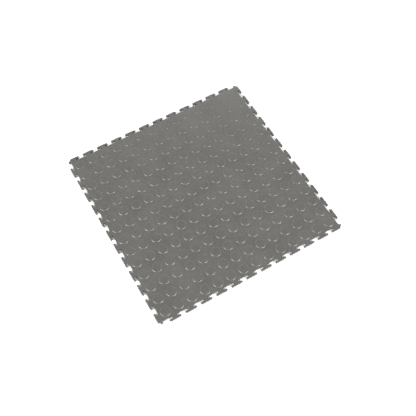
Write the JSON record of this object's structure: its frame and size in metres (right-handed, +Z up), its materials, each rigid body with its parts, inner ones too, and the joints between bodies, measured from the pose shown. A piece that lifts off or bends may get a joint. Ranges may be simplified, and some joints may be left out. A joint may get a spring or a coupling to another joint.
{
  "type": "interlocking floor tile",
  "caption": "Square grey PVC floor tile with round studs on top and T-shaped tabs on all four sides that lock into the slots of the next tile.",
  "frame": {"origin": "centre of the underside, which lies on the floor", "axes": "+Z up, square to the tile's two faces; X and Y along its sides"},
  "size_m": [0.5096, 0.5096, 0.007],
  "materials": {
    "pvc": "satin"
  },
  "bodies": {
    "root": {"floor_tile": "pvc"}
  },
  "joints": []
}
